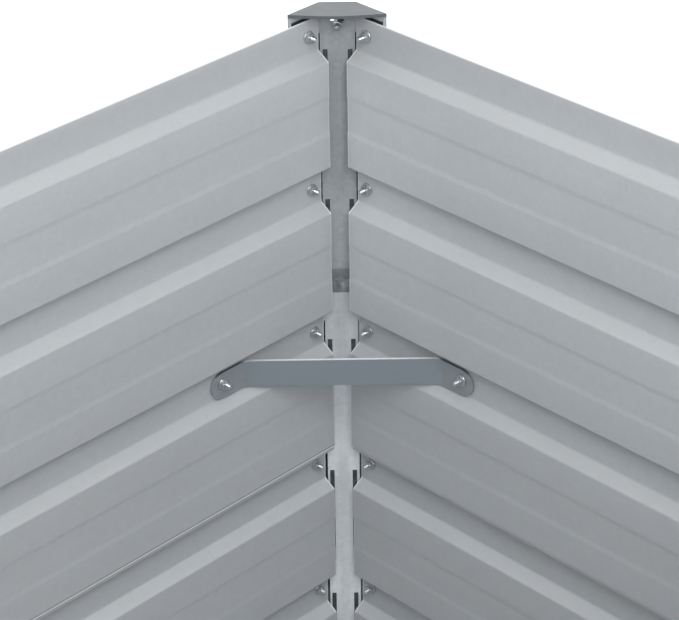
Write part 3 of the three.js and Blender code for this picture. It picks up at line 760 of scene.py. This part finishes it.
def make_materials(finish):
    """All finishes by name. Streaks run along the walls, or upright on the corner pieces. The post's inside
    is
    lighter where the strips part: painted light."""
    for make_group in (facing_group, zinc_group, dust_group, scuff_group):
        make_group()
    along_x, along_y, upright = (1.2, 70.0, 46.0), (70.0, 1.2, 46.0), (700.0, 700.0, 16.0)
    grain, even, fine = (30.0, 30.0, 60.0), (90.0, 90.0, 90.0), (260.0, 260.0, 260.0)
    made = {
        "sheet_long": steel_material("Long wall sheet", finish.sheet_color, 0.2, 0.5, along_x, 0.035),
        "sheet_long_upper": steel_material(
            "Long wall upper sheet", finish.sheet_color, 0.2, 0.5, along_x, 0.035
        ),
        "sheet_short": steel_material("Short wall sheet", finish.sheet_color, 0.2, 0.5, along_y, 0.035),
        "strip_upper": steel_material(
            "Upper strip", finish.strip_upper_color, 0.3, 0.5, upright, 0.12, dust=0.1, cloud_scale=260.0
        ),
        "strip_lower": steel_material(
            "Lower strip", finish.strip_lower_color, 0.3, 0.5, upright, 0.08, dust=0.1, cloud_scale=260.0
        ),
        "post": steel_material("Outer post", finish.post_color, 0.4, 0.5, upright, 0.08),
        # Painted shade: the post's inner faces are dark to stand in for the shadowed hollow behind the
        # strips.
        "post_inside": steel_material(
            "Post inside", finish.post_inside_shade_color, 0.2, 0.7, fine, 0.5, dust=0.0, cloud_scale=160.0
        ),
        "cap": steel_material("Corner cap", finish.cap_color, 0.3, 0.5, grain, 0.06, dust=0.1),
        # Painted light: lighter copies of the cap's steel for its inner faces and end flaps.
        "cap_inside": steel_material("Cap inside", finish.cap_inside_lit_color, 0.2, 0.6, grain, 0.06, dust=0.0),
        "cap_flap": steel_material("Cap end flaps", finish.cap_flap_lit_color, 0.2, 0.6, grain, 0.06, dust=0.0),
        "brace": steel_material(
            "Corner brace", finish.brace_color, 0.35, 0.45, grain, 0.05, dust=0.0, scuff=0.0
        ),
        "zinc": steel_material(
            "Bright zinc", finish.zinc_color, 0.9, 0.34, even, 0.10, dust=0.0, scuff=0.1, crystal_scale=900.0
        ),
    }
    for key, axis, half_run in (
        ("sheet_long", 0, HALF_LENGTH), ("sheet_long_upper", 0, HALF_LENGTH), ("sheet_short", 1, HALF_WIDTH),
    ):
        finish_sheet(made[key], axis, half_run, finish.painted_shade_color)
    finish_short_sheet_by_corner(made["sheet_short"])
    finish_upper_sheet_foot(made["sheet_long_upper"], finish.painted_shade_color)
    finish_strips(made["strip_upper"], made["strip_lower"], finish.strip_shade_color)
    # Painted light: the post's painted-dark inside is lifted in the more open gap where the strips part.
    strips_part_light = height_band(UPPER_STRIP_FOOT - 0.018, UPPER_STRIP_FOOT + 0.002)
    shade_by_mask(made["post_inside"], strips_part_light, 2.9)
    finish_cap_inside(made["cap_inside"], made["cap_flap"], finish)
    finish_brace(made["brace"], finish)
    return made


def finish_sheet(material, axis, half_run, painted_shade_color):
    """Painted highlights on the cut edges at the posts and along the top, painted shade on ledges, on the
    slants towards the wall's middle and low down, and painted shade and light on the top flat and on the
    slants."""
    rim, blend = 0.0014, 0.0004
    end = half_run - SHEET_END
    slants = looking_up(0.3, 0.6)
    middle_reach = half_run - 0.5
    lower_half, first_row, lowest_rows = (0.54, 0.40), (0.60, 0.70), (0.40, 0.29)
    low_shade = 0.07 if axis == 0 else 0.20
    at_post = away_from_middle(axis, end - rim, end - rim + blend)
    # Painted highlight at the sheet's ends, strongest where they look up.
    tint_by_mask(material, both(at_post, looking_up(0.3, 0.4, 0.35, 1.0)), EDGE_HIGHLIGHT_COLOR)
    # Painted shade on faces that look up, on slants towards the wall's middle and low down.
    tint_by_mask(material, looking_up(0.3, 0.6, 0.0, 0.14), painted_shade_color)
    tint_by_mask(material, both(slants, away_from_middle(axis, half_run, middle_reach, 0.18)), painted_shade_color)
    tint_by_mask(material, between_heights(*lower_half, low_shade), painted_shade_color)
    # Painted shade on the top flat's foot and the first row's slants, painted light on the lowest rows'
    # slants.
    top_flat_foot = WALL_HEIGHT - TOP_FLAT
    shade_by_mask(material, between_heights(top_flat_foot - 0.001, top_flat_foot + 0.001), 0.93)
    shade_by_mask(material, both(slants, between_heights(*first_row)), 0.93)
    shade_by_mask(material, both(slants, between_heights(*lowest_rows)), 1.08)
    # Painted highlight along the top edge.
    tint_by_mask(material, between_heights(WALL_HEIGHT - rim, WALL_HEIGHT - blend, 0.8), EDGE_HIGHLIGHT_COLOR)


def finish_short_sheet_by_corner(material):
    """Near the corners the short walls' top flat is darker, painted shade, and the upper tier's pans are
    lighter, painted light.
    """
    by_corner = away_from_middle(1, HALF_WIDTH - 0.15, HALF_WIDTH - 0.04)
    top_flat_foot, blend = WALL_HEIGHT - TOP_FLAT, 0.0005
    top_flat = between_heights(top_flat_foot - blend, top_flat_foot + blend)
    upper_pans = height_band(0.46, 0.7, 1.0, 0.02)
    # Painted shade on the top flat, painted light on the upper pans, near the corners.
    shade_by_mask(material, both(by_corner, top_flat), 0.90)
    shade_by_mask(material, both(by_corner, upper_pans), 1.09)


def finish_upper_sheet_foot(material, painted_shade_color):
    """A painted highlight at the foot of the upper tier on the long walls, with a line of painted shadow
    above it.
    """
    # Painted shadow above the upper tier's foot, then a painted highlight along it.
    shadow_line = height_band(UPPER_SHEET_FOOT + 0.0014, UPPER_SHEET_FOOT + 0.0027, 0.8)
    foot_highlight = height_band(UPPER_SHEET_FOOT - 0.001, UPPER_SHEET_FOOT + 0.0011)
    tint_by_mask(material, shadow_line, painted_shade_color)
    tint_by_mask(material, foot_highlight, EDGE_HIGHLIGHT_COLOR)


def diagonal_faces():
    """Mask makers for the faces that look along either diagonal."""
    across = 0.5**0.5
    return facing((across, across, 0), 0.8, 0.95), facing((across, -across, 0), 0.8, 0.95)


def finish_strips(upper, lower, shade_color):
    """The upper strip's chamfer is darker, and darkest at its foot, with a lighter band above: painted shade
    and light. The lower strip grows lighter downwards and under the brace, and both are lighter towards their
    folds: painted light."""
    by_fold = off_diagonal(0.003, 0.009)
    tail = height_band(0.515, 0.57, 1.0, 0.02)
    tail_foot = between_heights(UPPER_STRIP_FOOT + 0.011, UPPER_STRIP_FOOT + 0.009)
    below_brace = height_band(0.30, 0.40, 1.0, 0.04)
    # Painted shade on the upper chamfer and its foot, painted light on its band above, on the lower strip low
    # down, under the brace and by the folds.
    for mask_of in diagonal_faces():
        tint_by_mask(upper, mask_of, shade_color, "MULTIPLY")
    shade_by_mask(upper, tail, 1.2)
    shade_by_mask(upper, by_fold, 1.06)
    shade_by_mask(upper, tail_foot, 0.64)
    shade_by_mask(lower, between_heights(0.46, 0.12), 1.38)
    shade_by_mask(lower, below_brace, 1.19)
    shade_by_mask(lower, by_fold, 1.15)


def finish_cap_inside(inside, flap, finish):
    """Painted shade low in the cap's hollow, and a painted dark lip above the faces of its inside and its end
    flaps.
    """
    hollow_top = WALL_HEIGHT + 0.001
    lip_foot = WALL_HEIGHT + 0.0064
    # Painted shade in the hollow, then on the lip.
    tint_by_mask(inside, between_heights(hollow_top, hollow_top - 0.0004), finish.hollow_shade_color)
    for material in (inside, flap):
        tint_by_mask(material, between_heights(lip_foot, lip_foot + 0.0004), finish.cap_lip_shade_color)


def finish_brace(material, finish):
    """The bar is bluer than its tabs, a painted reflection; its upper edge has a painted highlight, and the
    upper edge of the tabs painted shade.
    """
    fold = BRACE_FOLD_OFF_DIAGONAL
    upper_edge = facing((0, 0, 1), 0.8, 0.95)
    # Painted reflection on the bar, painted highlight on its upper edge, painted shade on the tabs' upper
    # edge.
    for mask_of in diagonal_faces():
        tint_by_mask(material, mask_of, finish.brace_bar_reflection_color)
    tint_by_mask(material, both(upper_edge, off_diagonal(fold, fold - 0.003)), EDGE_HIGHLIGHT_COLOR)
    tint_by_mask(material, both(upper_edge, off_diagonal(fold - 0.001, fold + 0.002)), finish.cap_lip_shade_color)


# ------------------------------------------------------------------ operators


def made_materials(scene):
    """The finishes by name, made on the first call."""
    if "Zinc skin" not in bpy.data.node_groups:
        for key, material in make_materials(scene.bed_finish).items():
            material["finish"] = key
    return {material["finish"]: material for material in bpy.data.materials if "finish" in material}


class BedSheetsOperator(bpy.types.Operator):
    """Forms the ribbed wall sheets of both tiers"""

    bl_idname = "garden_bed.sheets"
    bl_label = "Wall sheets"

    def execute(self, context):
        shape, finishes = context.scene.bed_shape, made_materials(context.scene)
        for wall, (wall_out, half_run, quarter_turns, halves) in WALLS.items():
            for tier, tier_name in enumerate(("upper", "lower")):
                hem = shape.hem_thickness if tier == 0 else SHEET_THICKNESS
                key = "sheet_short" if not halves else "sheet_long" if tier else "sheet_long_upper"
                for side in (-1, 1) if halves else (0,):
                    half = f"_{halves[(side + 1) // 2]}" if halves else ""
                    stations = sheet_stations(side, half_run, tier + (side > 0))
                    wall_sheet(
                        f"{wall}_{tier_name}_sheet{half}", WALL_HEIGHT - tier * TIER_DROP, tier * TIER_STEP,
                        stations, wall_out, quarter_turns, shape, hem, finishes[key],
                    )
        return {"FINISHED"}


class BedCornersOperator(bpy.types.Operator):
    """Rounds the folds of the posts, strips, caps and braces"""

    bl_idname = "garden_bed.corners"
    bl_label = "Corner pieces"

    def execute(self, context):
        shape, finishes = context.scene.bed_shape, made_materials(context.scene)
        for corner, (x, y, _) in CORNERS.items():
            for part, (slot, keys) in CORNER_PARTS.items():
                fold_radius = shape.brace_radius if part == "brace" else shape.fold_radius
                materials = [finishes[key] for key in keys]
                piece = rounded_copy(f"{corner}_{part}", fold_radius, shape.rim_radius, materials)
                if len(keys) > 1:
                    mark_inner_faces(piece.data, x, y, CAP_FLAP_REACH if part == "cap" else 1.0)
        return {"FINISHED"}


def corner_places(corner, wall_turns, along, inward, up):
    """A point by one wall of a corner: along the wall from the corner line, inwards from its groove flat. The
    second wall of a corner is the first one mirrored on the diagonal."""
    x, y, quarter_turns = CORNERS[corner]
    local = np.array([along, inward, up]) if wall_turns == 0 else np.array([inward, along, up])
    return turned(local, quarter_turns) + (x, y, 0)


def corner_fasteners(corner, sides):
    """Bolts and nuts of one corner: a row up each wall, the brace's on each wall, and the cap's."""
    bolts, nuts = [], []
    quarter_turns = CORNERS[corner][2]
    for wall_turns in (0, 1):
        angle = (quarter_turns - wall_turns) * np.pi / 2
        for row in range(ROW_COUNT):
            up = WALL_HEIGHT - TOP_HOLE_DROP - row * RIB_PITCH
            inner = (0.0 if row < PANS_PER_SHEET else -TIER_STEP) + SEAT_GAP
            point = corner_places(corner, wall_turns, BOLT_FROM_CORNER, 0.0, up)
            bolts.append((angle, point, (POST_BACK_OUT + SEAT_GAP, inner + BOLT_REACH, sides)))
            nuts.append((angle, point, (inner, FLANGE_RADIUS, sides)))
        point = corner_places(corner, wall_turns, BRACE_HOLE_FROM_CORNER, 0.0, BRACE_BOLT_UP)
        inner = BRACE_FACE + SEAT_GAP
        bolts.append((angle, point, (TIER_STEP + SHEET_STEP, inner + BOLT_REACH, sides)))
        nuts.append((angle, point, (inner, FLANGE_RADIUS, sides)))
    angle = (quarter_turns - 0.5) * np.pi / 2
    point = corner_places(corner, 0, 0.0, 0.0, CAP_BOLT_UP)
    inner = CHAMFER_FACE + SEAT_GAP
    outer = CAP_STACK - CHAMFER_FACE + SEAT_GAP
    bolts.append((angle, point, (outer, inner + BOLT_REACH, sides, CAP_HEAD_RADIUS)))
    nuts.append((angle, point, (inner, PLAIN_NUT_RADIUS, sides)))
    return bolts, nuts


def seam_fasteners(quarter_turns, sides):
    """Bolts and nuts of the row at a long wall's mid span, through one sheet or through the lapped ones."""
    bolts, nuts = [], []
    angle = quarter_turns * np.pi / 2
    for row in range(ROW_COUNT):
        up = WALL_HEIGHT - TOP_HOLE_DROP - row * RIB_PITCH
        point = turned(np.array([0.0, -HALF_WIDTH, up]), quarter_turns)
        both_tiers = row >= PANS_PER_SHEET - 1
        upper_tier = row < PANS_PER_SHEET
        outer = (TIER_STEP + 2 * SHEET_STEP if both_tiers else SHEET_STEP) + SHEET_THICKNESS + SEAT_GAP
        inner = (0.0 if upper_tier else -TIER_STEP - SHEET_STEP) + SEAT_GAP
        bolts.append((angle, point, (outer, inner + BOLT_REACH, sides)))
        nuts.append((angle, point, (inner, FLANGE_RADIUS, sides)))
    return bolts, nuts


class BedFastenersOperator(bpy.types.Operator):
    """Sets the bolts and nuts of the corners, braces, caps and seams"""

    bl_idname = "garden_bed.fasteners"
    bl_label = "Bolts and nuts"

    def execute(self, context):
        sides = context.scene.bed_shape.nut_sides
        zinc = made_materials(context.scene)["zinc"]
        for corner in CORNERS:
            bolts, nuts = corner_fasteners(corner, sides)
            owned = [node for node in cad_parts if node.startswith(corner)]
            solid_bolts = [node for node in owned if node.endswith("_bolt")]
            solid_nuts = [node for node in owned if node.endswith("_nut")]
            fastener_group(f"{corner}_bolts", bolts, bolt_rings, False, zinc, solid_bolts)
            fastener_group(f"{corner}_nuts", nuts, nut_rings, True, zinc, solid_nuts)
        for wall in ("front", "back"):
            bolts, nuts = seam_fasteners(WALLS[wall][2], sides)
            fastener_group(f"{wall}_seam_bolts", bolts, bolt_rings, False, zinc)
            fastener_group(f"{wall}_seam_nuts", nuts, nut_rings, True, zinc)
        return {"FINISHED"}


class BedStageOperator(bpy.types.Operator):
    """Lays the floor and sets the light and the camera"""

    bl_idname = "garden_bed.stage"
    bl_label = "Stage"

    def execute(self, context):
        scene, stage = context.scene, context.scene.bed_stage
        scene.view_settings.view_transform = "Standard"
        half = stage.floor_size / 2
        rim = [(-half, -half, 0), (half, -half, 0), (half, half, 0), (-half, half, 0)]
        mesh = bpy.data.meshes.new("floor")
        mesh.from_pydata(rim, [], [(0, 1, 2, 3)])
        mesh.materials.append(floor_material())
        floor = bpy.data.objects.new("floor", mesh)
        scene.collection.objects.link(floor)
        scene.world = world_light(stage.world_strength)
        for name, (place, aim, size, power) in LIGHTS.items():
            lamp = bpy.data.lights.new(name, "AREA")
            lamp.shape = "SQUARE"
            lamp.size = size
            lamp.energy = power
            holder = bpy.data.objects.new(name, lamp)
            holder.location = place
            holder.visible_camera = False
            holder.rotation_euler = (Vector(aim) - Vector(place)).to_track_quat("-Z", "Y").to_euler()
            scene.collection.objects.link(holder)
        scene.camera = photograph_camera(scene, stage)
        return {"FINISHED"}


def floor_material():
    """A pale floor that keeps shadows: soft grey, lifted to paper white where the camera sees it."""
    material = bpy.data.materials.new("Pale floor")
    material.use_nodes = True
    tree = material.node_tree
    shader = tree.nodes["Principled BSDF"]
    shader.inputs["Base Color"].default_value = (0.45, 0.45, 0.45, 1.0)
    shader.inputs["Roughness"].default_value = 0.9
    shader.inputs["Specular IOR Level"].default_value = 0.1
    glow = add_node(tree, "ShaderNodeEmission", {"Strength": 0.75})
    path = add_node(tree, "ShaderNodeLightPath")
    seen = math_node(tree, "MAXIMUM", path.outputs["Is Camera Ray"], path.outputs["Is Transmission Ray"])
    dark = add_node(tree, "ShaderNodeEmission", {"Strength": 0.0})
    light = add_node(tree, "ShaderNodeMixShader", {0: seen, 1: dark.outputs[0], 2: glow.outputs[0]})
    total = add_node(tree, "ShaderNodeAddShader", {0: shader.outputs[0], 1: light.outputs[0]})
    tree.links.new(total.outputs[0], tree.nodes["Material Output"].inputs["Surface"])
    return material


def world_light(strength):
    """Even light from all round, seen as white by the camera."""
    world = bpy.data.worlds.new("Even light")
    world.use_nodes = True
    tree = world.node_tree
    even = tree.nodes["Background"]
    even.inputs["Color"].default_value = (0.97, 0.985, 1.0, 1.0)
    even.inputs["Strength"].default_value = strength
    white = add_node(tree, "ShaderNodeBackground", {"Color": (1, 1, 1, 1), "Strength": 1.0})
    path = add_node(tree, "ShaderNodeLightPath")
    seen = math_node(tree, "MAXIMUM", path.outputs["Is Camera Ray"], path.outputs["Is Transmission Ray"])
    mix = add_node(tree, "ShaderNodeMixShader", {0: seen, 1: even.outputs[0], 2: white.outputs[0]})
    tree.links.new(mix.outputs[0], tree.nodes["World Output"].inputs["Surface"])
    return world


def photograph_camera(scene, stage):
    """A camera that looks down into one corner. Its axes are its right, its up and its view reversed."""
    data = bpy.data.cameras.new("photograph_view")
    data.sensor_width = 36.0
    data.sensor_fit = "HORIZONTAL"
    data.lens = stage.camera_lens
    camera = bpy.data.objects.new("photograph_view", data)
    right, look = Vector(CAMERA_RIGHT).normalized(), Vector(CAMERA_LOOK).normalized()
    up = right.cross(look).normalized()
    axes = Matrix((right, up, -look)).transposed().to_4x4()
    camera.matrix_world = Matrix.Translation(stage.camera_place) @ axes
    scene.collection.objects.link(camera)
    return camera


class BedPanel(bpy.types.Panel):
    """Lists the steps that build the bed"""

    bl_idname = "VIEW3D_PT_garden_bed"
    bl_label = "Garden bed"
    bl_space_type = "VIEW_3D"
    bl_region_type = "UI"
    bl_category = "Garden bed"

    def draw(self, context):
        """Draws a button for each operator and a field for each setting."""
        for operator in OPERATORS:
            self.layout.operator(operator.bl_idname)
        for settings in (context.scene.bed_shape, context.scene.bed_finish, context.scene.bed_stage):
            for key in settings.__annotations__:
                self.layout.prop(settings, key)


SETTINGS = {"bed_shape": BedShapeSettings, "bed_finish": BedFinishSettings, "bed_stage": BedStageSettings}
OPERATORS = (BedSheetsOperator, BedCornersOperator, BedFastenersOperator, BedStageOperator)


def register():
    """Registers the settings, the operators and the panel."""
    for settings_class in SETTINGS.values():
        bpy.utils.register_class(settings_class)
    for name, settings_class in SETTINGS.items():
        setattr(bpy.types.Scene, name, PointerProperty(type=settings_class))
    for shown_class in (*OPERATORS, BedPanel):
        bpy.utils.register_class(shown_class)


def unregister():
    """Takes back what register did, last first."""
    for shown_class in (BedPanel, *reversed(OPERATORS)):
        bpy.utils.unregister_class(shown_class)
    for name, settings_class in reversed(SETTINGS.items()):
        delattr(bpy.types.Scene, name)
        bpy.utils.unregister_class(settings_class)


def main():
    """Builds the bed and its stage."""
    register()
    bpy.ops.garden_bed.sheets()
    bpy.ops.garden_bed.corners()
    bpy.ops.garden_bed.fasteners()
    bpy.ops.garden_bed.stage()


if __name__ == "__main__":
    main()
